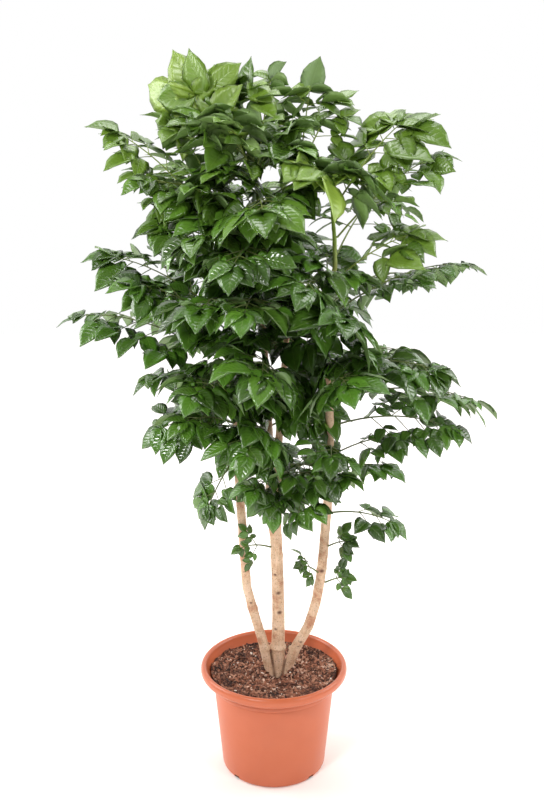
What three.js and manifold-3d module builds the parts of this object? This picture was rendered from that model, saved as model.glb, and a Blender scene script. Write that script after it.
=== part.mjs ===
// A china doll plant (Radermachera sinica) in a round grower's pot.
// Millimetres, +Z up. The origin is on the pot's axis, on the flat underside that it stands on.
import * as THREE from "three";
import { mergeVertices } from "three/addons/utils/BufferGeometryUtils.js";
import Module from "manifold-3d";

const wasm = await Module();
wasm.setup();
const { Manifold, Mesh } = wasm;

// ---------------------------------------------------------------- driving dimensions
const GAP = 0.4; // air left between neighbouring pieces
const POT = {
  height: 209,
  rimRadius: 143,
  lipHalfWidth: 6.2,
  lipHalfHeight: 9,
  baseRadius: 101.5,
  baseRounding: 7,
  wall: 2.6,
  floor: 3,
  bandTop: 180, // a narrow band runs round the wall just under the lip
  bandBottom: 170,
  bodyTopRadius: 117.2,
  bandRadius: 120.6,
  collarRadius: 125.5,
  collarHeight: 184,
  facets: 36,
  drainCount: 4,
  drainWidth: 12,
  drainHeight: 6.5,
  lipFrom: -110, // the lip's section, in degrees from its outermost side
  lipTo: 172,
  lipSteps: 9,
};
const SOIL = { wallTop: 190, centreTop: 181, shoulderAt: 0.82, shoulderRise: 0.2 };
const ROOT_CROWN = 148; // height of the sunk end of the stems
const ARCH = { crownAt: 0.55, rise: 0.1, levelRise: 0.14 }; // a leaf's rise over its chord, as shares of its length
const RACHIS = {
  footRadius: 2.0,
  endRadius: 1.3,
  sides: 3,
  steps: 6,
  share: 0.84,
  stemGap: 0.6,
  footShifts: [0, 7, -7, 14, -14, 21, -21, 28, -28],
  firstPair: 2.6,
  stagger: 0.05,
  pairLengths: [0, 120, 230], // each pair of blades comes in above one of these lengths
};
const BLADE = {
  thickness: 2.4,
  widestAt: 0.42,
  spread: 58,
  droop: 0.5,
  rootDepth: 0.3,
  lengths: [0.34, 0.24], // first and last pair, as shares of the leaf's length
  rolls: [0, 22, -22, 44, -44, 66, -66, 90],
  sizes: [[1, 0.5], [0.8, 0.5], [0.6, 0.5], [0.5, 0.4]], // length and breadth, from the one best liked
  tipSizes: [[1, 0.5], [1, 0.3], [1, 0.16]],
};

// Each stem's centre line, and its radius at some heights.
const STEMS = {
  left: {
    path: [[3, -4, ROOT_CROWN], [-8, -5, 197], [-32, -4, 295], [-49, -2, 346], [-58, 0, 460],
      [-66, 5, 587], [-70, 10, 760], [-82, 12, 920], [-95, 6, 1092], [-97, 0, 1160]],
    girth: [[ROOT_CROWN, 9.6], [300, 8.8], [600, 7.4], [900, 4.6], [1160, 2.2]],
    sides: 8,
    steps: 18,
  },
  centre: {
    path: [[9, 0, ROOT_CROWN], [8, 0, 243], [9, 0, 295], [6, 0, 421], [2, 0, 512]],
    girth: [[ROOT_CROWN, 15], [230, 12.6], [300, 11.6], [512, 10.5]],
    sides: 10,
    steps: 8,
  },
  centre_left: {
    path: [[0, 0, 470], [-8, -3, 531], [-7, -8, 625], [-15, -16, 800], [-25, -18, 980], [-30, -12, 1145]],
    girth: [[470, 7.6], [625, 6.9], [900, 4.4], [1145, 2.2]],
    sides: 7,
    steps: 14,
  },
  centre_right: {
    path: [[5, 2, 470], [8, 4, 531], [8, 12, 625], [20, 36, 800], [33, 46, 980], [42, 40, 1160]],
    girth: [[470, 7.6], [625, 6.9], [900, 4.4], [1160, 2.2]],
    sides: 7,
    steps: 14,
  },
  right: {
    path: [[12, -1, ROOT_CROWN], [20, -3, 180], [43, -5, 243], [70, -6, 295], [89, -6, 386], [96, -7, 474],
      [103, -9, 587], [100, -16, 740], [82, -30, 894], [106, -40, 980], [100, -42, 1063], [98, -40, 1125]],
    girth: [[ROOT_CROWN, 10.4], [300, 9.3], [600, 7.9], [860, 5], [1125, 2.2]],
    sides: 8,
    steps: 20,
  },
};

// Compound leaves, stem by stem from the lowest up: height of the foot, then where the tip hangs, x, y, z.
const LEAVES = {
  left: [
    [620, -140, -40, 490], [690, -185, -120, 700], [705, -260, 10, 640], [750, -140, -240, 770],
    [770, -255, -60, 765], [795, -385, -20, 885], [820, -200, 260, 790], [860, -275, -95, 950],
    [880, -335, 0, 995], [900, -120, -270, 900], [930, -230, 230, 930], [960, -225, 30, 1100],
    [1000, -130, -230, 1015], [1040, -315, 20, 1222], [1060, -190, 230, 1160], [1100, -200, 0, 1250],
    [1145, -155, -20, 1325], [1158, -110, 60, 1330],
  ],
  centre_left: [
    [640, 0, -125, 515], [700, -55, -210, 645], [800, -20, -300, 800], [900, -50, -310, 905],
    [1000, -70, -300, 965], [1080, -15, -280, 1040], [1110, -85, -160, 1220], [1130, -45, 0, 1320],
    [1143, 0, 80, 1330],
  ],
  centre_right: [
    [700, 70, 320, 660], [860, 165, 320, 880], [940, 10, 350, 1000], [1020, -90, 320, 1110],
    [1080, 120, 300, 1170], [1110, 0, 240, 1270], [1140, 130, 60, 1290], [1158, 70, 40, 1325],
  ],
  right: [
    [520, 260, -30, 480], [600, 252, 0, 592], [650, 95, -190, 650], [690, 372, -20, 660],
    [735, 425, 20, 700], [760, 120, -260, 790], [780, 290, 230, 770], [795, 340, -40, 770],
    [850, 110, -285, 900], [885, 378, 10, 975], [900, 300, 220, 930], [930, 35, -290, 940],
    [955, 285, -60, 1040], [1000, 240, 250, 1090], [1030, 314, 0, 1173], [1080, 260, 20, 1246],
    [1108, 125, -145, 1125], [1122, 35, -190, 1120],
  ],
};

// Small shoots low on the bare stems, in the same terms.
const SPROUTS = {
  centre: [[450, -80, -45, 452]],
  right: [[380, 156, -30, 393], [402, 38, -62, 432], [455, 156, -45, 470]],
};

const UP = new THREE.Vector3(0, 0, 1);
const { lerp, degToRad } = THREE.MathUtils;

// ---------------------------------------------------------------- finishes
const finish = (name, color, roughness) =>
  new THREE.MeshStandardMaterial({ name, color, roughness, metalness: 0 });
const POT_PLASTIC = finish("pot_plastic", 0xdb7858, 0.45);
const POTTING_MIX = finish("potting_mix", 0x5b3a2a, 1);
const BARK = finish("bark", 0xc59c7a, 0.85);
const LEAF_GREEN = finish("leaf_green", 0x2c6a20, 0.4);

// ---------------------------------------------------------------- closed solids from three.js geometries
/** A closed three.js geometry as a solid that can be joined and cut. */
function solid(geometry) {
  const bare = geometry.clone();
  bare.deleteAttribute("normal");
  bare.deleteAttribute("uv");
  const merged = mergeVertices(bare, 1e-4);
  const corners = merged.index.array;
  const triangles = [];
  for (let i = 0; i < corners.length; i += 3) {
    const [a, b, c] = corners.subarray(i, i + 3);
    if (a !== b && b !== c && c !== a) triangles.push(a, b, c);
  }
  return new Manifold(new Mesh({
    numProp: 3,
    vertProperties: new Float32Array(merged.attributes.position.array),
    triVerts: new Uint32Array(triangles),
  }));
}

/** A solid as a named three.js mesh. */
function piece(name, body, material) {
  const { vertProperties, triVerts } = body.getMesh();
  const geometry = new THREE.BufferGeometry();
  geometry.setAttribute("position", new THREE.BufferAttribute(new Float32Array(vertProperties), 3));
  geometry.setIndex(new THREE.BufferAttribute(new Uint32Array(triVerts), 1));
  geometry.computeVertexNormals();
  const mesh = new THREE.Mesh(geometry, material);
  mesh.name = name;
  return mesh;
}

/** An outline of [radius, height] pairs turned about the Z axis. */
function turned(outline, facets) {
  const points = outline.map(([radius, height]) => new THREE.Vector2(radius, height));
  return solid(new THREE.LatheGeometry(points, facets).rotateX(Math.PI / 2));
}

/** A closed cylinder bent along a curve, with its radius given at each of its points. */
function limb(curve, radiusAt, sides, steps) {
  const geometry = new THREE.CylinderGeometry(1, 1, 1, sides, steps);
  const { normals, binormals } = curve.computeFrenetFrames(steps);
  const place = geometry.attributes.position;
  for (let i = 0; i < place.count; i += 1) {
    const step = Math.round((place.getY(i) + 0.5) * steps);
    const centre = curve.getPointAt(step / steps);
    const radius = radiusAt(centre, step / steps);
    const point = centre.clone()
      .addScaledVector(binormals[step], place.getX(i) * radius)
      .addScaledVector(normals[step], place.getZ(i) * radius);
    place.setXYZ(i, point.x, point.y, point.z);
  }
  return solid(geometry);
}

// ---------------------------------------------------------------- pot and soil
/** The rounded lip's outline, as pairs of radius and height. */
function lipArc() {
  const centre = [POT.rimRadius - POT.lipHalfWidth, POT.height - POT.lipHalfHeight];
  return Array.from({ length: POT.lipSteps + 1 }, (_, i) => {
    const angle = degToRad(lerp(POT.lipFrom, POT.lipTo, i / POT.lipSteps));
    return [centre[0] + POT.lipHalfWidth * Math.cos(angle), centre[1] + POT.lipHalfHeight * Math.sin(angle)];
  });
}

/** The inner side of the wall, from the floor up to the lip. */
function innerWall(inset) {
  const radius = (outer) => outer - POT.wall - inset;
  return [
    [radius(POT.baseRadius), POT.floor + inset],
    [radius(POT.bodyTopRadius), POT.bandBottom],
    [radius(POT.bandRadius), POT.bandTop],
    [radius(POT.collarRadius), POT.collarHeight],
  ];
}

function makePot() {
  const rounding = POT.baseRounding;
  const body = turned([
    [0, 0],
    [POT.baseRadius - rounding, 0],
    [POT.baseRadius - rounding * 0.3, rounding * 0.3],
    [POT.baseRadius + 0.5, rounding],
    [POT.bodyTopRadius, POT.bandBottom - 1],
    [POT.bandRadius - 0.8, POT.bandBottom + 1.5],
    [POT.bandRadius, POT.bandTop],
    [POT.collarRadius, POT.collarHeight],
    [POT.collarRadius + 3, POT.bandTop + 10],
    ...lipArc(),
    ...innerWall(0).reverse(),
    [0, POT.floor],
  ], POT.facets);
  const drains = Array.from({ length: POT.drainCount }, (_, i) => {
    const slot = new THREE.BoxGeometry(4 * rounding, POT.drainWidth, 2 * POT.drainHeight);
    slot.translate(POT.baseRadius, 0, 0);
    slot.rotateZ((2 * Math.PI * (i + 0.5)) / POT.drainCount);
    return solid(slot);
  });
  return body.subtract(Manifold.union(drains));
}

/** The potting mix, moulded to the pot and open where the stems go down into it. */
function makeSoil() {
  const wall = innerWall(GAP);
  const top = [POT.collarRadius - POT.wall - GAP, SOIL.wallTop];
  const heap = turned([
    [0, POT.floor + GAP],
    ...wall,
    top,
    [top[0] * SOIL.shoulderAt, lerp(SOIL.centreTop, SOIL.wallTop, SOIL.shoulderRise)],
    [0, SOIL.centreTop],
  ], POT.facets);
  return heap.subtract(makeStems(GAP));
}

// ---------------------------------------------------------------- stems
/** A stem's radius at a height. */
function girthAt(girth, height) {
  const next = girth.findIndex(([z]) => z > height);
  if (next < 1) return (next === 0 ? girth[0] : girth.at(-1))[1];
  const [[lowZ, low], [highZ, high]] = girth.slice(next - 1, next + 1);
  return lerp(low, high, (height - lowZ) / (highZ - lowZ));
}

const stemCurves = Object.fromEntries(Object.entries(STEMS).map(([name, { path }]) =>
  [name, new THREE.CatmullRomCurve3(path.map((point) => new THREE.Vector3(...point)))]));

/** All the woody and green stems, grown together at the root crown and at the fork. */
function makeStems(extra) {
  const limbs = Object.entries(STEMS).map(([name, { girth, sides, steps }]) =>
    limb(stemCurves[name], (centre) => girthAt(girth, centre.z) + extra, sides, steps));
  return Manifold.union(limbs);
}

/** Where a stem's centre line passes a height. */
function stemPointAt(name, height) {
  const curve = stemCurves[name];
  let low = 0;
  let high = 1;
  for (let i = 0; i < 24; i += 1) {
    const middle = (low + high) / 2;
    if (curve.getPointAt(middle).z < height) low = middle;
    else high = middle;
  }
  return curve.getPointAt(low);
}

// ---------------------------------------------------------------- leaves
/** A leaf's midline: it rises from the stem, arches over and comes down to the tip. */
function midline(foot, tip) {
  const chord = tip.clone().sub(foot);
  const length = chord.length();
  const level = Math.hypot(chord.x, chord.y) / length;
  const rise = length * (ARCH.rise + ARCH.levelRise * level);
  const crown = foot.clone().addScaledVector(chord, ARCH.crownAt).addScaledVector(UP, rise);
  return new THREE.QuadraticBezierCurve3(foot, crown, tip);
}

/** The first part of another curve. */
class ShortenedCurve extends THREE.Curve {
  constructor(whole, share) {
    super();
    this.whole = whole;
    this.share = share;
  }

  getPoint(t, target) {
    return this.whole.getPoint(t * this.share, target);
  }
}

/** A thin kite-shaped blade from a base point, along a direction, turned about it by a roll. */
function blade(base, along, length, width, roll, extra) {
  const across = new THREE.Vector3().crossVectors(UP, along).normalize().applyAxisAngle(along, roll);
  const normal = new THREE.Vector3().crossVectors(along, across);
  const kite = new THREE.OctahedronGeometry(1);
  const place = kite.attributes.position;
  for (let i = 0; i < place.count; i += 1) {
    const x = place.getX(i);
    const forward = Math.abs(x) > 0.5 ? (x + 1) / 2 : BLADE.widestAt;
    place.setX(i, forward);
  }
  kite.scale(length + extra, width / 2 + extra, BLADE.thickness / 2 + extra);
  kite.applyMatrix4(new THREE.Matrix4().makeBasis(along, across, normal).setPosition(base));
  return solid(kite);
}

/** The blades that a leaf would like to have: pairs along its stalk, and one that ends at its tip. */
function wantedBlades(curve) {
  const length = curve.getLength();
  const pairs = RACHIS.pairLengths.filter((least) => length > least).length;
  const stalk = new ShortenedCurve(curve, RACHIS.share);
  const tip = curve.getPointAt(1);
  const tipBase = stalk.getPointAt(1 - 0.5 / RACHIS.steps);
  const tipAlong = tip.clone().sub(tipBase);
  const wanted = [{ base: tipBase, along: tipAlong.clone().normalize(), length: tipAlong.length(), isTip: true }];
  for (let pair = 0; pair < pairs; pair += 1) {
    for (const hand of [-1, 1]) {
      const joint = (RACHIS.firstPair + pair + hand * RACHIS.stagger) / RACHIS.steps;
      const tangent = stalk.getTangentAt(joint);
      const side = new THREE.Vector3().crossVectors(UP, tangent).normalize();
      const spread = degToRad(BLADE.spread);
      const along = tangent.clone().multiplyScalar(Math.cos(spread))
        .addScaledVector(side, hand * Math.sin(spread))
        .addScaledVector(UP, -BLADE.droop)
        .normalize();
      const base = stalk.getPointAt(joint).addScaledVector(along, -BLADE.rootDepth);
      wanted.push({ base, along, length: length * lerp(...BLADE.lengths, pair / pairs) });
    }
  }
  return wanted;
}

/** Whether a solid is clear of every standing solid that isn't its own leaf's. */
function isClear(candidate, standing, owner) {
  const { min, max } = candidate.boundingBox();
  return standing.every((other) => {
    if (other.owner === owner) return true;
    const apart = [0, 1, 2].some((k) => min[k] > other.box.max[k] || max[k] < other.box.min[k]);
    return apart || candidate.intersect(other.body).isEmpty();
  });
}

/** Adds a solid to those that later ones have to clear. */
function stand(standing, body, owner) {
  standing.push({ body, box: body.boundingBox(), owner });
}

/** The leaf's stalk, its foot moved up or down the stem until it clears the others. */
function makeRachis(stemName, [footHeight, ...tipPlace], owner, standing) {
  const tip = new THREE.Vector3(...tipPlace);
  for (const shift of RACHIS.footShifts) {
    const centre = stemPointAt(stemName, footHeight + shift);
    const outward = tip.clone().sub(centre).setZ(0).normalize();
    const reach = girthAt(STEMS[stemName].girth, centre.z) + RACHIS.footRadius + RACHIS.stemGap;
    const curve = midline(centre.addScaledVector(outward, reach), tip);
    const tube = (extra) => limb(
      new ShortenedCurve(curve, RACHIS.share),
      (_, along) => lerp(RACHIS.footRadius, RACHIS.endRadius, along) + extra,
      RACHIS.sides,
      RACHIS.steps,
    );
    if (isClear(tube(GAP), standing, owner)) return { curve, body: tube(0) };
  }
  throw new Error(`no clear way for ${owner}`);
}

/** A leaf's blades, each turned or shortened until it clears everything else. */
function makeBlades(curve, owner, standing) {
  const blades = [];
  for (const { base, along, length, isTip } of wantedBlades(curve)) {
    const sizes = isTip ? BLADE.tipSizes : BLADE.sizes;
    const tries = sizes.flatMap(([share, breadth]) => BLADE.rolls.map((roll) => ({ share, breadth, roll })));
    const make = ({ share, breadth, roll }, extra) =>
      blade(base, along, length * share, length * share * breadth, degToRad(roll), extra);
    const fit = tries.find((attempt) => isClear(make(attempt, GAP), standing, owner));
    if (fit) {
      blades.push(make(fit, 0));
      stand(standing, blades.at(-1), owner);
    } else if (isTip) {
      throw new Error(`no room for the tip of ${owner}`);
    }
  }
  return blades;
}

function makeFoliage(stems) {
  const standing = [];
  stand(standing, stems, "stems");
  const plans = [["leaf", LEAVES], ["sprout", SPROUTS]].flatMap(([kind, byStem]) =>
    Object.entries(byStem).flatMap(([stemName, rows]) =>
      rows.map((row, i) => ({ stemName, row, name: `${kind}_${stemName}_${String(i + 1).padStart(2, "0")}` }))));
  for (const plan of plans) {
    plan.rachis = makeRachis(plan.stemName, plan.row, plan.name, standing);
    stand(standing, plan.rachis.body, plan.name);
  }
  return plans.map(({ name, rachis }) => {
    const blades = makeBlades(rachis.curve, name, standing);
    return piece(name, Manifold.union([rachis.body, ...blades]).simplify(0.02), LEAF_GREEN);
  });
}

// ---------------------------------------------------------------- the whole plant
const stems = makeStems(0);
const plant = new THREE.Group();
plant.name = "potted_china_doll_plant";
plant.add(
  piece("pot", makePot(), POT_PLASTIC),
  piece("soil", makeSoil(), POTTING_MIX),
  piece("stems", stems, BARK),
  ...makeFoliage(stems),
);

export default plant;
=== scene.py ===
"""A potted china doll plant: the looks of its pot, potting mix, stems and compound leaves."""
import logging
import math
import random
from dataclasses import dataclass, field
from enum import Enum
from typing import Any, Iterator

import bmesh
import bpy
from mathutils import Matrix, Vector, noise
from mathutils.bvhtree import BVHTree

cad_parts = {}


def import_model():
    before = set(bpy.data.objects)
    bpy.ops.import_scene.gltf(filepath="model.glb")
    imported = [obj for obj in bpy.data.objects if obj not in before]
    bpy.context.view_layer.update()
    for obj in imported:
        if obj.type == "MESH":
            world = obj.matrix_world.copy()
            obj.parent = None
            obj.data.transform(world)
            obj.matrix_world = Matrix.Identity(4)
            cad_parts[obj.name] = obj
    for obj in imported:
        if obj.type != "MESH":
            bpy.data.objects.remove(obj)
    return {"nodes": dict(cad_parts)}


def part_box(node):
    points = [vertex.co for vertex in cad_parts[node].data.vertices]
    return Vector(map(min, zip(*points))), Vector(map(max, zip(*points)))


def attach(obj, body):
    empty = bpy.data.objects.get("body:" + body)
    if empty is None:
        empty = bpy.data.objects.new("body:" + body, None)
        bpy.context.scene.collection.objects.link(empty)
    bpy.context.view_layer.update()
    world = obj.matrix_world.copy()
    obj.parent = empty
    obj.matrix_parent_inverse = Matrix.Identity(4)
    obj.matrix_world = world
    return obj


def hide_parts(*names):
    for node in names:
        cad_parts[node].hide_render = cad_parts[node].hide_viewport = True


LOG = logging.getLogger("plant")
UP = Vector((0.0, 0.0, 1.0))
MM = 0.001


class Slot(Enum):
    """The record's material slots."""

    POT = "pot_plastic"
    MIX = "potting_mix"
    BARK = "bark"
    LEAF = "leaf_green"


# ---------------------------------------------------------------- small helpers
def linear(hex_colour: str) -> tuple[float, float, float, float]:
    """Turns an sRGB hex colour to linear light.

    Args:
        hex_colour: Six hex digits.

    Returns:
        Red, green, blue and an alpha of 1.
    """
    parts = [int(hex_colour[i:i + 2], 16) / 255 for i in (0, 2, 4)]
    values = [c / 12.92 if c <= 0.04045 else ((c + 0.055) / 1.055) ** 2.4 for c in parts]
    return (values[0], values[1], values[2], 1.0)


def mix(low: float, high: float, share: float) -> float:
    """Gives the value a share of the way from low to high."""
    return low + (high - low) * share


def add_node(tree: bpy.types.NodeTree, kind: str, settings: dict[str, Any] | None = None,
             links: dict[Any, bpy.types.NodeSocket] | None = None, **values: Any) -> bpy.types.Node:
    """Adds a shader node.

    Args:
        tree: The node tree it goes in.
        kind: The node's type, without the ShaderNode prefix.
        settings: The node's own settings, by name.
        links: Output sockets to link, by the name or number of the input that takes them.
        values: Input values, by name with _ for a space, or in0, in1 for the inputs by number.

    Returns:
        The new node.
    """
    node = tree.nodes.new("ShaderNode" + kind)
    for name, value in (settings or {}).items():
        setattr(node, name, value)
    for name, value in values.items():
        key = int(name[2:]) if name[:2] == "in" and name[2:].isdigit() else name.replace("_", " ")
        node.inputs[key].default_value = value
    for name, socket in (links or {}).items():
        tree.links.new(socket, node.inputs[name])
    return node


def math_node(tree: bpy.types.NodeTree, operation: str, *terms: Any) -> bpy.types.NodeSocket:
    """Gives the result of a sum on sockets and numbers.

    Args:
        tree: The node tree it goes in.
        operation: The Math node's operation.
        terms: Up to three sockets or numbers.

    Returns:
        The result's socket.
    """
    sockets = {i: t for i, t in enumerate(terms) if isinstance(t, bpy.types.NodeSocket)}
    numbers = {f"in{i}": t for i, t in enumerate(terms) if i not in sockets}
    return add_node(tree, "Math", {"operation": operation}, sockets, **numbers).outputs[0]


def ramp(tree: bpy.types.NodeTree, factor: bpy.types.NodeSocket,
         stops: list[tuple[float, str]]) -> bpy.types.NodeSocket:
    """Gives a colour ramp's colour.

    Args:
        tree: The node tree it goes in.
        factor: What the ramp reads.
        stops: Place and sRGB hex colour of each stop.

    Returns:
        The colour's socket.
    """
    node = add_node(tree, "ValToRGB", links={0: factor})
    elements = node.color_ramp.elements
    while len(elements) < len(stops):
        elements.new(0.5)
    for element, (place, colour) in zip(elements, stops):
        element.position = place
        element.color = linear(colour)
    return node.outputs[0]


def blend_colours(tree: bpy.types.NodeTree, factor: Any, first: Any, second: Any,
                  how: str = "MIX") -> bpy.types.NodeSocket:
    """Mixes two colours, each a socket or an sRGB hex string.

    Args:
        tree: The node tree it goes in.
        factor: A socket or a number, 0 for the first colour.
        first: The first colour.
        second: The second colour.
        how: The Mix node's blend type.

    Returns:
        The mixed colour's socket.
    """
    node = add_node(tree, "Mix", {"data_type": "RGBA", "blend_type": how})
    for index, term in ((0, factor), (6, first), (7, second)):
        if isinstance(term, bpy.types.NodeSocket):
            tree.links.new(term, node.inputs[index])
        else:
            node.inputs[index].default_value = linear(term) if isinstance(term, str) else term
    return node.outputs[2]


def new_material(name: str) -> tuple[bpy.types.Material, bpy.types.NodeTree, bpy.types.Node]:
    """Makes a material and gives it with its tree and its Principled shader."""
    material = bpy.data.materials.new(name)
    material.use_nodes = True
    return material, material.node_tree, material.node_tree.nodes["Principled BSDF"]


def new_piece(name: str, bm: bmesh.types.BMesh, materials: list[bpy.types.Material],
              smooth: bool = True) -> bpy.types.Object:
    """Makes a finished object from a bmesh, which it frees.

    Args:
        name: The piece's name.
        bm: The shape, in metres.
        materials: The piece's materials, in slot order.
        smooth: Whether its faces are shaded smooth.

    Returns:
        The object, linked to the scene at the origin.
    """
    mesh = bpy.data.meshes.new(name)
    bm.to_mesh(mesh)
    bm.free()
    for material in materials:
        mesh.materials.append(material)
    if smooth:
        mesh.shade_smooth()
    piece = bpy.data.objects.new(name, mesh)
    bpy.context.scene.collection.objects.link(piece)
    return piece


def bake_modifiers(piece: bpy.types.Object) -> None:
    """Puts an object's modifiers into its mesh."""
    shape = piece.evaluated_get(bpy.context.evaluated_depsgraph_get())
    mesh = bpy.data.meshes.new_from_object(shape)
    piece.modifiers.clear()
    piece.data = mesh


def declare(piece: bpy.types.Object, slot: Slot, *nodes: str) -> None:
    """Rides a piece on the plant's one body, hides the CAD nodes it stands for, and reports it."""
    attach(piece, "root")
    if nodes:
        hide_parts(*nodes)
    LOG.info("%s: %d faces", piece.name, len(piece.data.polygons))


# ---------------------------------------------------------------- finishes
@dataclass(frozen=True)
class MouldedPolypropylene:
    """Terracotta-coloured polypropylene, moulded: even, satin, with a faint texture."""

    body: str = "C2633F"
    sheen_tone: str = "CA6C48"
    streak_mm: float = 60.0
    grain_mm: float = 1.2

    def make(self) -> bpy.types.Material:
        """Makes the material."""
        material, tree, shader = new_material("terracotta_polypropylene")
        place = add_node(tree, "TexCoord").outputs["Object"]
        streak = add_node(tree, "TexNoise", links={"Vector": place}, Scale=1 / (self.streak_mm * MM),
            Detail=3.0)
        colour = blend_colours(tree, streak.outputs[0], self.body, self.sheen_tone)
        tree.links.new(colour, shader.inputs["Base Color"])
        rough = add_node(tree, "MapRange", links={0: streak.outputs[0]}, in3=0.26, in4=0.38)
        tree.links.new(rough.outputs[0], shader.inputs["Roughness"])
        grain = add_node(tree, "TexNoise", links={"Vector": place}, Scale=1 / (self.grain_mm * MM),
            Detail=2.0)
        bump = add_node(tree, "Bump", links={"Height": grain.outputs[0]}, Strength=0.05,
            Distance=0.2 * MM)
        tree.links.new(bump.outputs[0], shader.inputs["Normal"])
        shader.inputs["IOR"].default_value = 1.49
        return material


@dataclass(frozen=True)
class PottingMix:
    """Moist coir and bark crumbs: reddish-brown crumbs and a few pale chips, with painted shade in the gaps
    between them, and no shine.
    """

    crumb_mm: float = 5.0
    chip_share: float = 0.5

    def make(self) -> bpy.types.Material:
        """Makes the material of the heap's surface."""
        material, tree, shader = new_material("coir_and_bark_mix")
        place = add_node(tree, "TexCoord").outputs["Object"]
        cells = add_node(tree, "TexVoronoi", links={"Vector": place}, Scale=1 / (self.crumb_mm * MM))
        tone = add_node(tree, "SeparateColor", links={0: cells.outputs["Color"]}).outputs[0]
        crumb = ramp(tree, tone, [(0.0, "3A2219"), (0.4, "6A4030"), (0.7, "92604A"), (1.0, "BC8C72")])
        # Painted shade: the colour goes to near black towards each crumb's edge, in the gaps where the bump
        # sinks.
        gaps = add_node(tree, "MapRange", links={0: cells.outputs["Distance"]}, in1=0.25, in2=0.75)
        dark = blend_colours(tree, gaps.outputs[0], crumb, "2A1812")
        tree.links.new(dark, shader.inputs["Base Color"])
        shader.inputs["Roughness"].default_value = 0.95
        bump = add_node(tree, "Bump", {"invert": True}, {"Height": cells.outputs["Distance"]},
                        Strength=0.8, Distance=2 * MM)
        tree.links.new(bump.outputs[0], shader.inputs["Normal"])
        return material


@dataclass(frozen=True)
class MixChips:
    """Loose bark chips, coir pith and white grit, each crumb of one tone."""

    grain_mm: float = 1.5

    def make(self) -> bpy.types.Material:
        """Makes the material, which reads each crumb's own tone."""
        material, tree, shader = new_material("bark_chips_and_grit")
        tone = add_node(tree, "Attribute", {"attribute_name": "tone"}).outputs["Fac"]
        colour = ramp(tree, tone, [(0.0, "3A211A"), (0.25, "6E4230"), (0.5, "9A6148"), (0.75, "BC8A70"),
                                   (0.9, "DDB8A2"), (0.97, "F4E6D8")])
        place = add_node(tree, "TexCoord").outputs["Object"]
        grain = add_node(tree, "TexNoise", links={"Vector": place}, Scale=1 / (self.grain_mm * MM),
            Detail=2.0)
        shade = add_node(tree, "MapRange", links={0: grain.outputs[0]}, in3=0.55, in4=1.25)
        grey = add_node(tree, "CombineColor", links={i: shade.outputs[0] for i in range(3)}).outputs[0]
        tree.links.new(blend_colours(tree, 1.0, colour, grey, "MULTIPLY"), shader.inputs["Base Color"])
        shader.inputs["Roughness"].default_value = 0.85
        bump = add_node(tree, "Bump", links={"Height": grain.outputs[0]}, Strength=0.5, Distance=0.5 * MM)
        tree.links.new(bump.outputs[0], shader.inputs["Normal"])
        return material


@dataclass(frozen=True)
class YoungBark:
    """Thin smooth bark: tan with pinkish-brown blotches and pale lenticels, green at the tops, with dark
    branch scars and painted shade in the creases between stems.
    """

    tan: str = "D9B797"
    blotch: str = "B98566"
    lenticel: str = "6E3F2A"
    green: str = "8DAA42"
    lenticel_mm: float = 5.0

    def make(self) -> bpy.types.Material:
        """Makes the material, which reads the attribute green."""
        material, tree, shader = new_material("tan_bark")
        place = add_node(tree, "TexCoord").outputs["Object"]
        wide = add_node(tree, "TexNoise", links={"Vector": place}, Scale=1 / (22 * MM), Detail=5.0,
            Roughness=0.65)
        base = ramp(tree, wide.outputs[0], [(0.32, "E6C7AC"), (0.5, self.tan), (0.66, self.blotch)])
        flat = add_node(tree, "Mapping", links={"Vector": place}, Scale=(1.0, 1.0, 2.2))
        spots = add_node(tree, "TexVoronoi", links={"Vector": flat.outputs[0]},
            Scale=1 / (self.lenticel_mm * MM))
        spot = add_node(tree, "MapRange", links={0: spots.outputs["Distance"]}, in1=0.3,
            in2=0.12).outputs[0]
        bark = blend_colours(tree, math_node(tree, "MULTIPLY", spot, 0.8), base, self.lenticel)
        streaks = add_node(tree, "Mapping", links={"Vector": place}, Scale=(1.0, 1.0, 0.18))
        fine = add_node(tree, "TexNoise", links={"Vector": streaks.outputs[0]}, Scale=1 / (3 * MM),
            Detail=4.0)
        dark = add_node(tree, "MapRange", links={0: fine.outputs[0]}, in3=0.72, in4=1.2)
        grey = add_node(tree, "CombineColor", links={i: dark.outputs[0] for i in range(3)}).outputs[0]
        bark = blend_colours(tree, 1.0, bark, grey, "MULTIPLY")
        # Dark scars where branches dropped, and painted shade in the creases where two stems have grown
        # together, both from one attribute.
        scar_and_crease_shade = add_node(tree, "Attribute", {"attribute_name": "knot_and_crease_shade"}).outputs["Fac"]
        bark = blend_colours(tree, math_node(tree, "MULTIPLY", scar_and_crease_shade, 0.9), bark, "4E2414")
        young = add_node(tree, "Attribute", {"attribute_name": "green"}).outputs["Fac"]
        tree.links.new(blend_colours(tree, young, bark, self.green), shader.inputs["Base Color"])
        shader.inputs["Roughness"].default_value = 0.62
        height = math_node(tree, "ADD", math_node(tree, "MULTIPLY", spot, 0.6), fine.outputs[0])
        bump = add_node(tree, "Bump", links={"Height": height}, Strength=0.45, Distance=0.8 * MM)
        tree.links.new(bump.outputs[0], shader.inputs["Normal"])
        return material


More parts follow.
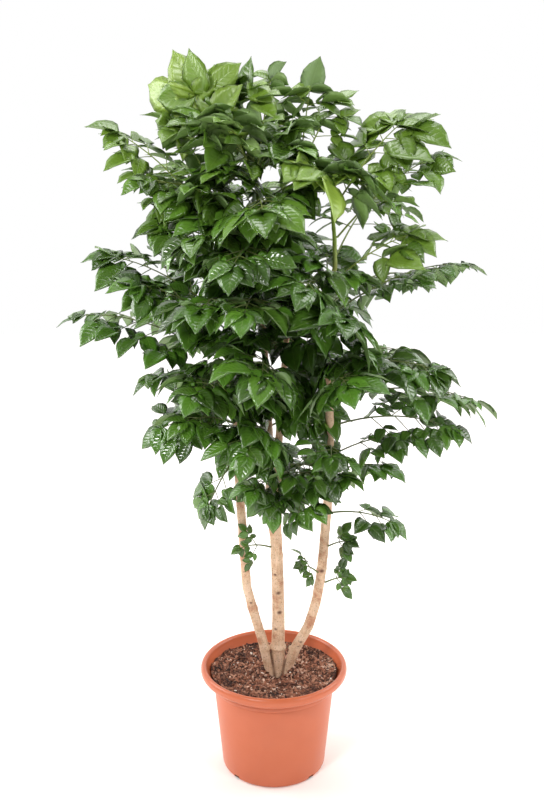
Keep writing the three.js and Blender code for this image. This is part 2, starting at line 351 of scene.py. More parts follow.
@dataclass(frozen=True)
class GlossyLeaf:
    """A waxy leaflet: quilted between sunken side veins, dark when grown and yellow-green when young."""

    veins: float = 7.0
    vein_sweep: float = 0.34
    grown: tuple[str, str] = ("2B4412", "578628")
    young: tuple[str, str] = ("5C8422", "93AE3E")

    def make(self) -> bpy.types.Material:
        """Makes the material, which reads the leaflet's UV map and the attributes tint, age and under."""
        material, tree, shader = new_material("waxy_leaflet")
        uv = add_node(tree, "UVMap", {"uv_map": "UVMap"}).outputs[0]
        parts = add_node(tree, "SeparateXYZ", links={0: uv}).outputs
        along = parts[0]
        across = math_node(tree, "ABSOLUTE", math_node(tree, "MULTIPLY_ADD", parts[1], 2.0, -1.0))
        swept = math_node(tree, "MULTIPLY_ADD", across, -self.vein_sweep, along)
        wave = math_node(tree, "ABSOLUTE", math_node(tree, "SINE", math_node(
            tree, "MULTIPLY", swept, math.pi * self.veins)))
        pillow = math_node(tree, "POWER", wave, 0.6)
        midrib = add_node(tree, "MapRange", links={0: across}, in1=0.07, in2=0.02).outputs[0]
        side_vein = add_node(tree, "MapRange", links={0: wave}, in1=0.22, in2=0.05).outputs[0]
        vein = math_node(tree, "MAXIMUM", midrib, math_node(tree, "MULTIPLY", side_vein, 0.4))
        tint = add_node(tree, "Attribute", {"attribute_name": "tint"}).outputs["Fac"]
        age = add_node(tree, "Attribute", {"attribute_name": "age"}).outputs["Fac"]
        under = add_node(tree, "Attribute", {"attribute_name": "under"}).outputs["Fac"]
        place = add_node(tree, "TexCoord").outputs["Object"]
        mottle = add_node(tree, "TexNoise", links={"Vector": place}, Scale=1 / (14 * MM),
            Detail=3.0).outputs[0]
        share = math_node(tree, "MULTIPLY_ADD", mottle, 0.5,
            math_node(tree, "MULTIPLY_ADD", tint, 0.9, -0.2))
        dark = blend_colours(tree, share, *self.grown)
        light = blend_colours(tree, share, *self.young)
        skin = blend_colours(tree, age, dark, light)
        skin = blend_colours(tree, math_node(tree, "MULTIPLY", vein, 0.16), skin, "8FB050")
        skin = blend_colours(tree, math_node(tree, "MULTIPLY", under, 0.5), skin, "7E9C5C")
        tree.links.new(skin, shader.inputs["Base Color"])
        gloss = add_node(tree, "MapRange", links={0: mottle}, in3=0.08, in4=0.28).outputs[0]
        rough = math_node(tree, "MULTIPLY_ADD", under, 0.3,
            math_node(tree, "MULTIPLY_ADD", age, 0.22, gloss))
        tree.links.new(rough, shader.inputs["Roughness"])
        fine = add_node(tree, "TexNoise", links={"Vector": place}, Scale=1 / (4 * MM),
            Detail=2.0).outputs[0]
        height = math_node(tree, "MULTIPLY_ADD", fine, 0.35, pillow)
        height = math_node(tree, "MULTIPLY_ADD", midrib, -0.6, height)
        bump = add_node(tree, "Bump", links={"Height": height}, Strength=0.5, Distance=0.8 * MM)
        tree.links.new(bump.outputs[0], shader.inputs["Normal"])
        shader.inputs["IOR"].default_value = 1.5
        shader.inputs["Specular IOR Level"].default_value = 0.8
        return material


@dataclass(frozen=True)
class LeafStalk:
    """The stalk of a compound leaf: smooth, dark green-brown, satin."""

    base: str = "3E4A22"
    tone: str = "6D7A36"

    def make(self) -> bpy.types.Material:
        """Makes the material."""
        material, tree, shader = new_material("leaf_stalk")
        place = add_node(tree, "TexCoord").outputs["Object"]
        patch = add_node(tree, "TexNoise", links={"Vector": place}, Scale=1 / (40 * MM), Detail=2.0)
        age = add_node(tree, "Attribute", {"attribute_name": "age"}).outputs["Fac"]
        stalk = blend_colours(tree, patch.outputs[0], self.base, self.tone)
        tree.links.new(blend_colours(tree, age, stalk, "A3B84C"), shader.inputs["Base Color"])
        shader.inputs["Roughness"].default_value = 0.45
        return material


# ---------------------------------------------------------------- pot
@dataclass
class Pot:
    """The moulded pot, with its rolled rim, the band under it and the drain slots at its foot."""

    finish: MouldedPolypropylene = field(default_factory=MouldedPolypropylene)
    steps: int = 128
    lip_width: float = 12.4 * MM
    lip_height: float = 18 * MM
    wall: float = 2.6 * MM
    floor: float = 3 * MM
    base_radius: float = 101.5 * MM
    rounding: float = 7 * MM
    body_radius: float = 117.2 * MM
    band_radius: float = 120.6 * MM
    collar_radius: float = 125.5 * MM
    band: tuple[float, float] = (170 * MM, 180 * MM)
    drains: int = 4
    drain_size: tuple[float, float, float] = (30 * MM, 13 * MM, 16 * MM)

    def outline(self) -> list[tuple[float, float]]:
        """Gives the wall's outline as radius and height, from the axis below round to the axis above."""
        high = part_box("pot")[1]
        centre = (high[0] - self.lip_width / 2, high[2] - self.lip_height / 2)
        low_band, high_band = self.band
        points = [(0.0, 0.0)]
        for i in range(7):
            turn = math.radians(90 * i / 6)
            points.append((self.base_radius - self.rounding * (1 - math.sin(turn)),
                           self.rounding * (1 - math.cos(turn))))
        points += [(self.body_radius, low_band - 3 * MM),
            (self.body_radius - 1 * MM, low_band - 1.2 * MM),
                   (self.body_radius, low_band), (self.band_radius - 0.4 * MM, low_band + 0.4 * MM),
                   (self.band_radius, low_band + 1.6 * MM), (self.band_radius, high_band - 1.6 * MM),
                   (self.band_radius - 0.9 * MM, high_band - 0.4 * MM),
                   (self.band_radius - 0.4 * MM, high_band + 0.8 * MM),
                   (self.collar_radius - 0.8 * MM, high_band + 1.2 * MM),
                   (self.collar_radius, high_band + 2.5 * MM),
                   (self.collar_radius + 0.4 * MM, high_band + 9 * MM)]
        for i in range(25):
            turn = math.radians(mix(-112, 172, i / 24))
            points.append((centre[0] + self.lip_width / 2 * math.cos(turn),
                           centre[1] + self.lip_height / 2 * math.sin(turn)))
        points += [(self.collar_radius - self.wall + 2 * MM, high_band + 12 * MM),
                   (self.collar_radius - self.wall, high_band + 4 * MM),
                   (self.band_radius - self.wall, high_band),
                   (self.body_radius - self.wall, low_band),
                   (self.base_radius - self.wall, self.floor), (0.0, self.floor)]
        return points

    def build(self) -> bpy.types.Object:
        """Builds the pot and dresses it.

        Returns:
            The pot's piece.
        """
        bm = bmesh.new()
        line = [bm.verts.new((radius, 0.0, height)) for radius, height in self.outline()]
        edges = [bm.edges.new(pair) for pair in zip(line, line[1:])]
        bmesh.ops.spin(bm, geom=line + edges, axis=UP, cent=(0, 0, 0), angle=math.tau, steps=self.steps,
                       use_merge=True)
        bmesh.ops.remove_doubles(bm, verts=bm.verts, dist=0.01 * MM)
        bmesh.ops.recalc_face_normals(bm, faces=bm.faces)
        pot = new_piece("terracotta_pot", bm, [self.finish.make()])
        self.cut_drains(pot)
        declare(pot, Slot.POT, "pot")
        return pot

    def cut_drains(self, pot: bpy.types.Object) -> None:
        """Cuts the drain slots through the foot's edge."""
        bm = bmesh.new()
        for i in range(self.drains):
            turn = Matrix.Rotation(math.tau * (i + 0.5) / self.drains, 4, "Z")
            place = turn @ Matrix.Translation((self.base_radius, 0,
                0)) @ Matrix.Diagonal((*self.drain_size, 1))
            bmesh.ops.create_cube(bm, size=1.0, matrix=place)
        cutter = new_piece("drain_cutter", bm, [])
        cut = pot.modifiers.new("drains", "BOOLEAN")
        cut.object = cutter
        cut.solver = "EXACT"
        bake_modifiers(pot)
        bpy.data.objects.remove(cutter)
        pot.data.set_sharp_from_angle(angle=math.radians(40))


# ---------------------------------------------------------------- potting mix
@dataclass
class Soil:
    """The heap of potting mix, and the loose crumbs and chips that lie on it."""

    finish: PottingMix = field(default_factory=PottingMix)
    chip_finish: MixChips = field(default_factory=MixChips)
    rings: int = 64
    spokes: int = 176
    floor: float = 4 * MM
    heaped: float = 5 * MM
    back_dip: float = 9 * MM
    chips: int = 4600
    seed: int = 7
    mounds: tuple[tuple[float, float, float, float], ...] = (
        (-0.021, -0.009, 17 * MM, 13 * MM), (0.036, -0.009, 17 * MM, 13 * MM),
        (0.007, -0.02, -4 * MM, 9 * MM),
        (-0.06, 0.045, 5 * MM, 22 * MM), (0.06, -0.03, 3 * MM, 20 * MM))

    def height(self, x: float, y: float) -> float:
        """Gives the heap's height at a place."""
        radius = math.hypot(x, y)
        rise = mix(-11 * MM, 0.0, min(1.0, radius / self.radius) ** 2) - self.back_dip * max(0.0,
            y / self.radius) ** 2
        place = Vector((x, y, 0.0)) / MM
        lumps = 4.2 * noise.noise(place / 34) + 3.4 * noise.noise(place / 14) + 1.6 * noise.noise(place / 5)
        for mound_x, mound_y, rise_there, spread in self.mounds:
            rise += rise_there * math.exp(-((x - mound_x) ** 2 + (y - mound_y) ** 2) / spread ** 2)
        return self.top + rise + lumps * MM

    def build(self) -> list[bpy.types.Object]:
        """Builds the heap and its crumbs.

        Returns:
            Both pieces.
        """
        low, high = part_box("soil")
        self.radius = high[0] + 0.7 * MM
        self.top = high[2] + self.heaped
        bm = bmesh.new()
        line = [bm.verts.new((self.radius * (i / self.rings) ** 0.8, 0,
            self.top)) for i in range(self.rings + 1)]
        foot_radius = self.radius - 23 * MM
        line += [bm.verts.new((self.radius - 6 * MM, 0, self.top - 14 * MM)),
                 bm.verts.new((foot_radius, 0, self.floor)), bm.verts.new((0, 0, self.floor))]
        edges = [bm.edges.new(pair) for pair in zip(line, line[1:])]
        bmesh.ops.spin(bm, geom=line + edges, axis=UP, cent=(0, 0, 0), angle=math.tau, steps=self.spokes,
                       use_merge=True)
        bmesh.ops.remove_doubles(bm, verts=bm.verts, dist=0.01 * MM)
        for vert in bm.verts:
            if vert.co.z > self.top - 0.1 * MM:
                vert.co.z = self.height(vert.co.x, vert.co.y)
        bmesh.ops.recalc_face_normals(bm, faces=bm.faces)
        heap = new_piece("potting_mix_heap", bm, [self.finish.make()])
        declare(heap, Slot.MIX, "soil")
        return [heap, self.scatter()]

    def scatter(self) -> bpy.types.Object:
        """Scatters crumbs, bark chips and grit over the heap."""
        rng = random.Random(self.seed)
        bm = bmesh.new()
        tone = bm.verts.layers.float.new("tone")
        for _ in range(self.chips):
            radius = (self.radius - 3 * MM) * math.sqrt(rng.random())
            turn = rng.uniform(0, math.tau)
            x, y = radius * math.cos(turn), radius * math.sin(turn)
            size = min(3.4, rng.lognormvariate(0.35, 0.5)) * MM
            is_chip = rng.random() < 0.35
            shape = (size * rng.uniform(1.5, 2.8), size * 0.9, size * 0.5) if is_chip else (size, size,
                size * 0.8)
            place = Matrix.LocRotScale(
                Vector((x, y, self.height(x, y) + 0.3 * size)),
                Matrix.Rotation(rng.uniform(0, math.tau), 3, "Z") @ Matrix.Rotation(rng.gauss(0, 0.45), 3,
                "Y")
                @ Matrix.Rotation(rng.gauss(0, 0.5), 3, "X"),
                Vector(shape))
            crumb = bmesh.ops.create_icosphere(bm, subdivisions=1, radius=1.0, matrix=place)["verts"]
            patch = 0.42 + 0.5 * noise.noise(Vector((x, y, 3.0)) / (32 * MM)) + 0.06 * x / self.radius
            shade = min(0.9, max(0.0, rng.gauss(patch, 0.22))) if rng.random() > 0.012 else 1.0
            for vert in crumb:
                vert.co += Vector([rng.uniform(-0.22, 0.22) * size for _ in range(3)])
                vert[tone] = shade
        crumbs = new_piece("bark_chips", bm, [self.chip_finish.make()], smooth=False)
        declare(crumbs, Slot.MIX)
        return crumbs


# ---------------------------------------------------------------- stems
@dataclass
class Stems:
    """The woody stems with their green tops: the frame's stems, rounded, with bark relief and rings."""

    finish: YoungBark = field(default_factory=YoungBark)
    voxel: float = 1.75 * MM
    green_from: float = 0.84
    green_full: float = 1.03
    seam_top: float = 0.24
    feet: tuple[tuple[tuple[tuple[float, float, float], ...], float], ...] = (
        (((0.004, -0.004, 0.13), (-0.008, -0.005, 0.197), (-0.032, -0.004, 0.295)), 9.5 * MM),
        (((0.009, 0.0, 0.13), (0.008, 0.0, 0.3)), 13.5 * MM),
        (((0.01, -0.001, 0.13), (0.02, -0.003, 0.18), (0.043, -0.005, 0.243)), 10 * MM))
    knots: tuple[tuple[float, float, float, float], ...] = (
        (0.011, -0.012, 0.318, 5.2 * MM), (0.009, -0.012, 0.358, 4.6 * MM),
        (0.002, -0.011, 0.395, 3.2 * MM),
        (0.003, -0.012, 0.283, 3.4 * MM), (-0.044, -0.012, 0.338, 3 * MM), (0.091, -0.016, 0.405, 5 * MM),
        (0.052, -0.014, 0.258, 3 * MM), (0.047, -0.014, 0.249, 2.4 * MM))
    rings: tuple[tuple[float, float, float, float], ...] = (
        (0.008, 0.0, 0.241, 3.2 * MM), (-0.040, 0.0, 0.325, 0.9 * MM), (0.090, -0.006, 0.405, 1.0 * MM),
        (0.006, 0.0, 0.430, 1.0 * MM), (-0.058, 0.0, 0.470, 0.9 * MM), (0.096, -0.007, 0.520, 0.9 * MM))

    def seam_at(self, place: Vector) -> float:
        """Gives how deep in the seam between two stems that have grown together a place is, up to 1."""
        if place.z > self.seam_top:
            return 0.0
        gaps = []
        for path, radius in self.feet:
            for low, high in zip(path, path[1:]):
                if low[2] <= place.z <= high[2]:
                    centre = Vector(low).lerp(Vector(high), (place.z - low[2]) / (high[2] - low[2]))
                    gaps.append((place - centre).length - radius)
        near, next_near = sorted(gaps)[:2]
        return math.exp(-((next_near - near) / (2.6 * MM)) ** 2)

    def knot_at(self, place: Vector) -> float:
        """Gives how much of a branch scar, where a branch has dropped, there is at a place, up to 1."""
        shares = [math.exp(-(((place.x - x) ** 2 + (place.y - y) ** 2 * 0.5
                  + (place.z - z) ** 2 * 2) / size ** 2) ** 2)
                  for x, y, z, size in self.knots if abs(place.z - z) < 15 * MM]
        return max(shares, default=0.0)

    def relief(self, place: Vector) -> float:
        """Gives how far the bark stands out at a place, in metres."""
        long_place = Vector((place.x, place.y, place.z * 0.3)) / MM
        bumps = 0.5 * noise.noise(long_place / 7) + 0.22 * noise.noise(place / (3 * MM))
        swell = 0.0
        for x, y, z, height in self.rings:
            if math.hypot(place.x - x, place.y - y) < 26 * MM:
                swell += height * math.exp(-((place.z - z) / (4 * MM)) ** 2)
        slim = 1.0 if place.z < self.green_from else 0.3
        return bumps * MM * slim + swell

    def build(self) -> bpy.types.Object:
        """Builds the stems and dresses them.

        Returns:
            The stems' piece.
        """
        bm = bmesh.new()
        bm.from_mesh(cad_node("stems").data)
        bmesh.ops.remove_doubles(bm, verts=bm.verts, dist=0.01 * MM)
        stems = new_piece("woody_stems", bm, [self.finish.make()])
        remesh = stems.modifiers.new("round", "REMESH")
        remesh.mode = "VOXEL"
        remesh.voxel_size = self.voxel
        bake_modifiers(stems)
        bm = bmesh.new()
        bm.from_mesh(stems.data)
        for _ in range(6):
            bmesh.ops.smooth_vert(bm, verts=bm.verts, factor=0.5, use_axis_x=True, use_axis_y=True,
                use_axis_z=True)
        bm.normal_update()
        green = bm.verts.layers.float.new("green")
        knot_and_crease_shade = bm.verts.layers.float.new("knot_and_crease_shade")
        for vert in bm.verts:
            vert.co += vert.normal * (self.relief(vert.co) + 1.1 * MM)
            share = (vert.co.z - self.green_from) / (self.green_full - self.green_from)
            vert[green] = min(1.0, max(0.0, share))
            seam = self.seam_at(vert.co)
            # The attribute holds the branch scars and, at 0.75 of the seam's depth, painted shade in the
            # creases between stems; both also sink the surface.
            vert[knot_and_crease_shade] = max(self.knot_at(vert.co), 0.75 * seam)
            vert.co -= vert.normal * (vert[knot_and_crease_shade] * 1.0 + seam * 2.2) * MM
        bm.to_mesh(stems.data)
        bm.free()
        stems.data.shade_smooth()
        declare(stems, Slot.BARK, "stems")
        return stems


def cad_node(name: str) -> bpy.types.Object:
    """Gives a CAD node's object."""
    return FRAME["nodes"][name]


# ---------------------------------------------------------------- leaflets
@dataclass(frozen=True)
class LeafletForm:
    """One form of leaflet, a unit long: how much it folds, droops, twists and waves."""

    fold: float
    droop: float
    twist: float
    wave: float

    OUTLINE = ((0.0, 0.0), (0.03, 0.14), (0.14, 0.31), (0.32, 0.36), (0.53, 0.345), (0.74, 0.235),
        (0.9, 0.07),
               (1.0, 0.0))
    ACROSS = 4
    THICKNESS = 0.012

    def make(self, name: str) -> bpy.types.Mesh:
        """Makes the form's closed mesh, with its UV map and the attribute under on its lower face.

        Args:
            name: The mesh's name.

        Returns:
            The mesh, along +X from its foot at the origin, with its upper face up.
        """
        bm = bmesh.new()
        rows = len(self.OUTLINE) - 1
        bmesh.ops.create_grid(bm, x_segments=rows, y_segments=self.ACROSS, size=0.5)
        uv = bm.loops.layers.uv.new("UVMap")
        under = bm.faces.layers.float.new("under")
        for attribute in ("tint", "age"):
            bm.faces.layers.float.new(attribute)
        for face in bm.faces:
            for loop in face.loops:
                row = round((loop.vert.co.x + 0.5) * rows)
                loop[uv].uv = (self.OUTLINE[row][0], loop.vert.co.y + 0.5)
        for vert in bm.verts:
            along, half = self.OUTLINE[round((vert.co.x + 0.5) * rows)]
            side = vert.co.y * 2
            lift = self.fold * abs(side) * half * 1.6 + 0.03 * (1 - abs(abs(side) - 0.5) * 2)
            ripple = self.wave * abs(side) * math.sin(along * 11 + side)
            turn = self.twist * along * side * half
            vert.co = (along, side * half,
                lift * min(1.0, half * 6) + ripple + turn - self.droop * along ** 2)
        top = list(bm.faces)
        margin = {v for e in bm.edges if e.is_boundary for v in e.verts}
        copy = bmesh.ops.duplicate(bm, geom=top)
        lower = [g for g in copy["geom"] if isinstance(g, bmesh.types.BMFace)]
        rim = {v for e in bm.edges if e.is_boundary for v in e.verts}
        inner = [v for f in lower for v in f.verts if v not in rim]
        for vert in set(inner):
            vert.co.z -= self.THICKNESS
        for face in lower:
            face[under] = 1.0
        bmesh.ops.reverse_faces(bm, faces=lower)
        bmesh.ops.remove_doubles(bm, verts=list(margin | rim), dist=1e-5)
        mesh = bpy.data.meshes.new(name)
        bm.to_mesh(mesh)
        bm.free()
        return mesh


@dataclass(frozen=True)
class Leaflet:
    """Where one leaflet sits: its foot, the way it points, the way its face looks, and its length."""

    foot: Vector
    along: Vector
    face: Vector
    length: float

    def matrix(self) -> Matrix:
        """Gives the matrix that puts a unit leaflet there."""
        across = self.face.cross(self.along).normalized()
        face = self.along.cross(across)
        turn = Matrix((self.along, across, face)).transposed().to_4x4()
        return Matrix.Translation(self.foot) @ turn @ Matrix.Scale(self.length, 4)


@dataclass
class Stalk:
    """A stalk's midline and its radius at each end."""

    points: list[Vector]
    radii: tuple[float, float]


# ---------------------------------------------------------------- compound leaves
@dataclass
class CompoundLeaf:
    """One twice-pinnate leaf, from its foot on the stem to its tip."""

    name: str
    foot: Vector
    tip: Vector
    seed: int
    size: float = 50 * MM
    freshness: float = 0.0

    LIGHT = Vector((0.0, -1.0, 0.0))

    def __post_init__(self) -> None:
        """Works out the midline, which rises from the stem, arches over and comes down to the tip."""
        chord = self.tip - self.foot
        self.length = chord.length
        level = math.hypot(chord.x, chord.y) / self.length
        self.crown = self.foot + chord * 0.55 + UP * self.length * (0.1 + 0.14 * level)
        self.rng = random.Random(self.seed)
        self.age = max(self.freshness, min(0.55, max(0.0, (self.tip.z - 0.95) / 0.62)))
        outward = Vector((self.tip.x, self.tip.y, 0)).normalized()
        tilt = Vector([self.rng.gauss(0, 0.22) for _ in range(3)])
        facing = self.rng.uniform(-0.1,
            0.25) if self.tip.x > 0.2 or self.tip.z > 1.12 else self.rng.uniform(0.1, 0.9)
        facing += 0.5 * self.freshness
        self.sky = (UP * 0.85 + self.LIGHT * facing + outward * 0.3 + tilt).normalized()
        crown_share = min(1.0, max(0.0, (self.tip.z - 0.45) / 0.4))
        self.size *= mix(0.68, 1.0, crown_share) * mix(1.0, 1.3, self.freshness) * self.rng.uniform(0.85,
            1.15)
        if self.length < 0.12:
            self.size *= 0.56

    def at(self, share: float) -> Vector:
        """Gives the midline's point at a share of its length."""
        rest = 1 - share
        return self.foot * rest ** 2 + self.crown * 2 * share * rest + self.tip * share ** 2

    def heading(self, share: float) -> Vector:
        """Gives the midline's direction at a share of its length."""
        return ((self.crown - self.foot) * (1 - share) + (self.tip - self.crown) * share).normalized()

    def side(self, share: float) -> Vector:
        """Gives the direction across the leaf's plane at a share of the midline, which faces the light."""
        return self.heading(share).cross(self.sky).normalized()

    def leaflet(self, at: float, foot: Vector, wanted: Vector, scale: float = 1.0) -> Leaflet:
        """Hangs a leaflet from a place.

        Args:
            at: The midline's share where its branch leaves.
            foot: Where its stalk ends.
            wanted: The way it would point with no weight.
            scale: Its length against the leaf's usual leaflet.

        Returns:
            The leaflet, drooping and turned a little at random.
        """
        rng = self.rng
        heading = self.heading(at)
        steep = max(0.0, heading.z) ** 1.5 * (1 - 0.8 * self.freshness)
        droop = mix(0.26, 0.05, self.age) * rng.uniform(0.0, 2.2)
        wobble = Vector([rng.gauss(0, 0.13) for _ in range(3)])
        level = Vector((wanted.x, wanted.y, wanted.z * (1 - 0.8 * steep))).normalized()
        along = (level - UP * droop + wobble).normalized()
        face = self.side(at).cross(heading).lerp(UP,
            steep) + Vector([rng.gauss(0, 0.24) for _ in range(3)])
        return Leaflet(foot, along, face, self.size * scale * rng.uniform(0.7, 1.22))

    def simple_pair(self, at: float, scale: float) -> Iterator[Leaflet]:
        """Gives two opposite leaflets on the midline."""
        for hand in (-1, 1):
            yield self.leaflet(at, self.at(at), self.heading(at) * 0.55 + self.side(at) * hand * 0.85,
                scale)

    def pinna(self, at: float, hand: int, reach: float, pairs: int) -> tuple[Stalk, list[Leaflet]]:
        """Makes one side branch of the leaf.

        Args:
            at: Where it leaves the midline.
            hand: Which side it is on, -1 or 1.
            reach: Its length with its last leaflet.
            pairs: How many pairs of leaflets it has below the last one.

        Returns:
            Its stalk and its leaflets.
        """
        side = self.side(at) * hand
        start = self.at(at)
        way = (self.heading(at) * 0.55 + side * 0.83 - UP * 0.1).normalized()
        bare = max(reach - self.size * 0.8, self.size * 0.5)
        points = [start + way * bare * t - UP * (t * t * 0.1 * bare) for t in (0, 0.35, 0.7, 1.0)]
        leaflets = [self.leaflet(at, points[-1], way, 1.1)]
        cross = self.side(at).cross(self.heading(at)).cross(way).normalized()
        for pair in range(pairs):
            share = mix(0.3, 1.0, (pair + 0.5) / pairs)
            place = points[0].lerp(points[-1], share)
            for turn in (-1, 1):
                leaflets.append(self.leaflet(at, place, way * 0.5 + cross * turn * 0.87, 0.92))
        return Stalk(points, (0.95 * MM, 0.6 * MM)), leaflets

    def parts(self) -> tuple[list[Stalk], list[Leaflet]]:
        """Gives the whole leaf's stalks and leaflets."""
        last = self.size * 1.15
        end = 1 - last / self.length
        stalks = [Stalk([self.at(end * i / 10) for i in range(11)], (1.9 * MM, 0.8 * MM))]
        reach = self.tip - self.at(end)
        steep = max(0.0, reach.normalized().z)
        reach = Vector((reach.x, reach.y, reach.z * (1 - 0.45 * steep)))
        leaflets = [Leaflet(self.at(end), reach.normalized(), self.side(1.0).cross(self.heading(1.0)),
            last)]
        if self.length > 0.21:
            branches = ((0.22, 0.4, 2), (0.38, 0.36, 1), (0.52, 0.31, 1), (0.65, 0.24, 1))
            simple = (0.76, 0.87)
        elif self.length > 0.12:
            branches, simple = ((0.3, 0.46, 1), (0.5, 0.4, 1)), (0.68, 0.82)
        else:
            branches, simple = ((0.32, 0.62, 2),), (0.55, 0.74)
        for at, share, pairs in branches:
            for hand in (-1, 1):
                stalk, more = self.pinna(at + hand * 0.012, hand, self.length * share, pairs)
                stalks.append(stalk)
                leaflets += more
        for at in simple:
            leaflets += self.simple_pair(min(at, end), 0.95)
        return stalks, leaflets


@dataclass
class Foliage:
    """All the compound leaves, each rebuilt along the midline of its own CAD leaf."""

    leaf_finish: GlossyLeaf = field(default_factory=GlossyLeaf)
    stalk_finish: LeafStalk = field(default_factory=LeafStalk)
    forms: tuple[LeafletForm, ...] = (
        LeafletForm(0.22, 0.22, 0.0, 0.012), LeafletForm(0.12, 0.34, 0.25, 0.018),
        LeafletForm(0.32, 0.12, -0.2, 0.01), LeafletForm(0.05, 0.28, 0.1, 0.022))
    fresh: dict[str, float] = field(default_factory=lambda: {
        "leaf_left_17": 0.9, "leaf_left_18": 0.75, "leaf_left_14": 0.5, "leaf_right_17": 0.8,
        "leaf_right_18": 1.0,
        "leaf_right_16": 0.5, "leaf_centre_left_08": 0.45, "leaf_right_13": 0.6})
    inner: int = 78
    inner_heights: tuple[float, float] = (0.54, 1.19)

    def build(self) -> list[bpy.types.Object]:
        """Builds every leaf.

        Returns:
            One piece for each CAD leaf.
        """
        self.masters = [form.make(f"leaflet_form_{i}") for i, form in enumerate(self.forms)]
        self.materials = [self.leaf_finish.make(), self.stalk_finish.make()]
        stems = bmesh.new()
        stems.from_mesh(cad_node("stems").data)
        self.stem_surface = BVHTree.FromBMesh(stems)
        stems.free()
        names = sorted(n for n in FRAME["nodes"] if n.startswith(("leaf_", "sprout_")))
        pieces = [self.build_leaf(name, seed) for seed, name in enumerate(names)]
        return pieces + [self.build_inner(number) for number in range(self.inner)]

    def build_inner(self, number: int) -> bpy.types.Object:
        """Builds one of the short leaves that fill the crown round the stems."""
        rng = random.Random(1000 + number)
        start = Vector((0.0, 0.0, mix(*self.inner_heights, ((number + 0.5) / self.inner) ** 1.15)))
        start.x = rng.uniform(-0.1, 0.12) if number % 3 else 0.0
        touch = self.stem_surface.find_nearest(start)[0]
        turn = math.radians(number * 137.5) if number % 2 else math.radians(rng.uniform(-150, -30))
        reach = rng.uniform(0.12, 0.19)
        way = Vector((math.cos(turn), math.sin(turn), 0.0))
        leaf = CompoundLeaf(f"inner_{number + 1:02d}", touch + way * 2 * MM,
                            touch + way * reach + UP * rng.uniform(0.0, 0.02 + 0.06 * start.z),
                            500 + number)
        leaf.age *= 0.7
        piece = self.assemble(leaf, f"foliage_inner_{number + 1:02d}")
        declare(piece, Slot.LEAF)
        return piece

    def ends(self, name: str) -> tuple[Vector, Vector]:
        """Finds a CAD leaf's foot, sunk to the stem's surface, and its tip."""
        places = [v.co.copy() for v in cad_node(name).data.vertices]
        near = min(places, key=lambda p: self.stem_surface.find_nearest(p)[3])
        ring = [p for p in places if (p - near).length < 4.5 * MM]
        foot = sum(ring, Vector()) / len(ring)
        tip = max(places, key=lambda p: (p - foot).length)
        return foot, tip

    def build_leaf(self, name: str, seed: int) -> bpy.types.Object:
        """Builds one leaf in its CAD leaf's place.

        Args:
            name: The CAD leaf's node.
            seed: What its random choices start from.

        Returns:
            The leaf's piece.
        """
        leaf = CompoundLeaf(name, *self.ends(name), seed, freshness=self.fresh.get(name, 0.0))
        kind, rest = name.split("_", 1)
        piece = self.assemble(leaf, f"foliage_{rest}" if kind == "leaf" else f"young_shoot_{rest}")
        declare(piece, Slot.LEAF, name)
        return piece

    def assemble(self, leaf: CompoundLeaf, name: str) -> bpy.types.Object:
        """Makes one leaf's stalks and leaflets into a piece.

        Args:
            leaf: The leaf.
            name: The piece's name.

        Returns:
            The piece, not yet declared.
        """
        stalks, leaflets = leaf.parts()
        touch = self.stem_surface.find_nearest(leaf.foot)[0]
        stalks[0].points.insert(0, touch + (touch - leaf.foot) * 0.6)
        bm = bmesh.new()
        bm.from_mesh(self.stalk_mesh(stalks))
        layers = {key: bm.faces.layers.float.new(key) for key in ("under", "tint", "age")}
        for face in bm.faces:
            face.material_index = 1
            face.smooth = True
            face[layers["age"]] = leaf.age
        for item in leaflets:
            first_vert, first_face = len(bm.verts), len(bm.faces)
            bm.from_mesh(leaf.rng.choice(self.masters))
            bm.verts.ensure_lookup_table()
            bm.faces.ensure_lookup_table()
            bmesh.ops.transform(bm, matrix=item.matrix(), verts=bm.verts[first_vert:])
            tint = leaf.rng.uniform(0.0, 1.0)
            age = min(1.0, max(0.0, leaf.age + leaf.rng.uniform(-0.1, 0.1)))
            for face in bm.faces[first_face:]:
                face[layers["tint"]] = tint
                face[layers["age"]] = age
        return new_piece(name, bm, self.materials)

    def stalk_mesh(self, stalks: list[Stalk]) -> bpy.types.Mesh:
        """Makes closed tapering tubes along the stalks.

        Args:
            stalks: The stalks of one leaf.

        Returns:
            One mesh that holds them all.
        """
        curve = bpy.data.curves.new("stalks", "CURVE")
        curve.dimensions = "3D"
        curve.bevel_depth = 1.0
        curve.bevel_resolution = 1
        curve.use_fill_caps = True
        for stalk in stalks:
            spline = curve.splines.new("POLY")
            spline.points.add(len(stalk.points) - 1)
            for i, (point, place) in enumerate(zip(spline.points, stalk.points)):
                point.co = (*place, 1.0)
                point.radius = mix(*stalk.radii, i / (len(stalk.points) - 1))
        holder = bpy.data.objects.new("stalks", curve)
        bpy.context.scene.collection.objects.link(holder)
        mesh = bpy.data.meshes.new_from_object(holder.evaluated_get(bpy.context.evaluated_depsgraph_get()))
        bpy.data.objects.remove(holder)
        return mesh


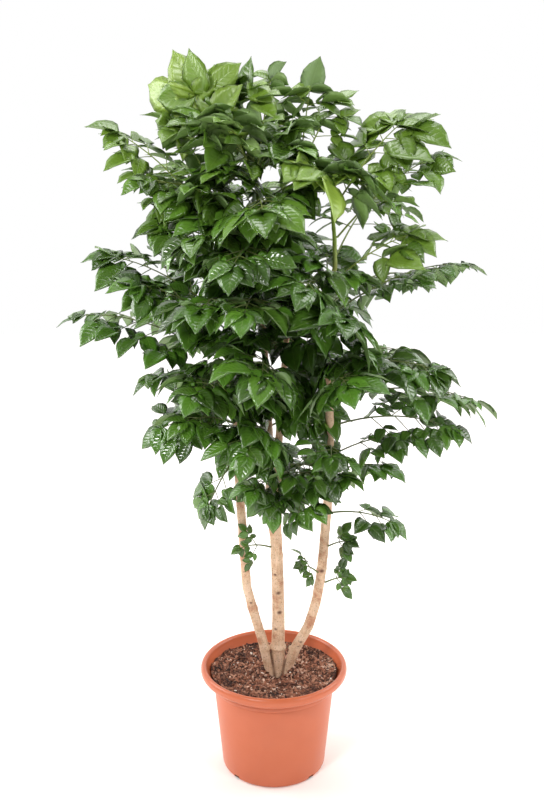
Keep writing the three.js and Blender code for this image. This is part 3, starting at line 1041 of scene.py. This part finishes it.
# ---------------------------------------------------------------- studio
@dataclass
class Studio:
    """The camera, a pale floor that glows, with painted shade round the pot, and soft light."""

    lens: float = 40.5
    pitch: float = 12.27
    camera_at: tuple[float, float, float] = (-0.0036, -1.615, 1.085)
    floor_size: float = 12.0
    painted_shade_radius: float = 0.9
    ambient: tuple[float, float] = (0.25, 1.3)

    def build(self) -> None:
        """Sets up the studio."""
        scene = bpy.context.scene
        data = bpy.data.cameras.new("camera")
        data.lens = self.lens
        camera = bpy.data.objects.new("camera", data)
        camera.location = self.camera_at
        camera.rotation_euler = (math.radians(90 - self.pitch), 0, 0)
        scene.collection.objects.link(camera)
        scene.camera = camera
        scene.view_settings.view_transform = "Standard"
        self.add_light("key", (-1.2, -1.9, 2.2), 0.5, 32)
        self.add_light("fill", (1.8, -1.6, 1.8), 0.6, 18)
        self.add_light("top", (0.1, 0.5, 2.9), 1.4, 24)
        self.add_light("left", (-2.0, 0.3, 1.6), 1.2, 30)
        self.add_light("right", (2.0, 0.3, 1.6), 1.2, 22)
        self.build_floor()
        self.build_world()

    def add_light(self, name: str, place: tuple[float, float, float], size: float, power: float) -> None:
        """Adds a square soft light that faces the plant's middle."""
        data = bpy.data.lights.new(name, "AREA")
        data.size = size
        data.energy = power
        lamp = bpy.data.objects.new(name, data)
        lamp.location = place
        lamp.rotation_euler = (Vector((0, 0, 0.75)) - Vector(place)).to_track_quat("-Z", "Y").to_euler()
        bpy.context.scene.collection.objects.link(lamp)

    def build_floor(self) -> None:
        """Lays the pale floor, which glows by emission, less near the pot: painted shade round it."""
        bm = bmesh.new()
        bmesh.ops.create_grid(bm, x_segments=1, y_segments=1, size=self.floor_size / 2)
        material, tree, shader = new_material("pale_floor")
        shader.inputs["Base Color"].default_value = linear("FBF6F1")
        shader.inputs["Emission Color"].default_value = linear("FFFFFF")
        # Painted light: the floor glows, 0.08 within 0.1 m of the middle up to 0.5 at the shade radius, so
        # it reads white far off, with painted shade round the pot.
        away = add_node(tree, "VectorMath", {"operation": "LENGTH"},
            {0: add_node(tree, "TexCoord").outputs["Object"]})
        glow = add_node(tree, "MapRange", {"interpolation_type": "SMOOTHSTEP"},
            {0: away.outputs["Value"]},
                        in1=0.1, in2=self.painted_shade_radius, in3=0.08, in4=0.5)
        tree.links.new(glow.outputs[0], shader.inputs["Emission Strength"])
        shader.inputs["Roughness"].default_value = 0.7
        new_piece("floor", bm, [material], smooth=False)

    def build_world(self) -> None:
        """Gives a white background that lights the plant softly from all round."""
        world = bpy.data.worlds.new("studio")
        world.use_nodes = True
        tree = world.node_tree
        background = tree.nodes["Background"]
        background.inputs["Color"].default_value = linear("FFFFFF")
        seen = add_node(tree, "LightPath").outputs["Is Camera Ray"]
        way = add_node(tree, "SeparateXYZ", links={0: add_node(tree, "TexCoord").outputs["Generated"]})
        glow = add_node(tree, "MapRange", links={0: way.outputs[1]}, in1=-0.3, in2=0.7,
            in3=self.ambient[0],
                        in4=self.ambient[1])
        strength = blend_colours(tree, seen, glow.outputs[0], (1.0, 1.0, 1.0, 1.0))
        tree.links.new(strength, background.inputs["Strength"])
        bpy.context.scene.world = world


def main() -> None:
    """Builds the studio and the plant, piece by piece."""
    logging.basicConfig(level=logging.INFO, format="%(message)s")
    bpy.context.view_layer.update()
    Studio().build()
    Pot().build()
    Soil().build()
    Stems().build()
    Foliage().build()


if __name__ == "__main__":
    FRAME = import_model()
    main()
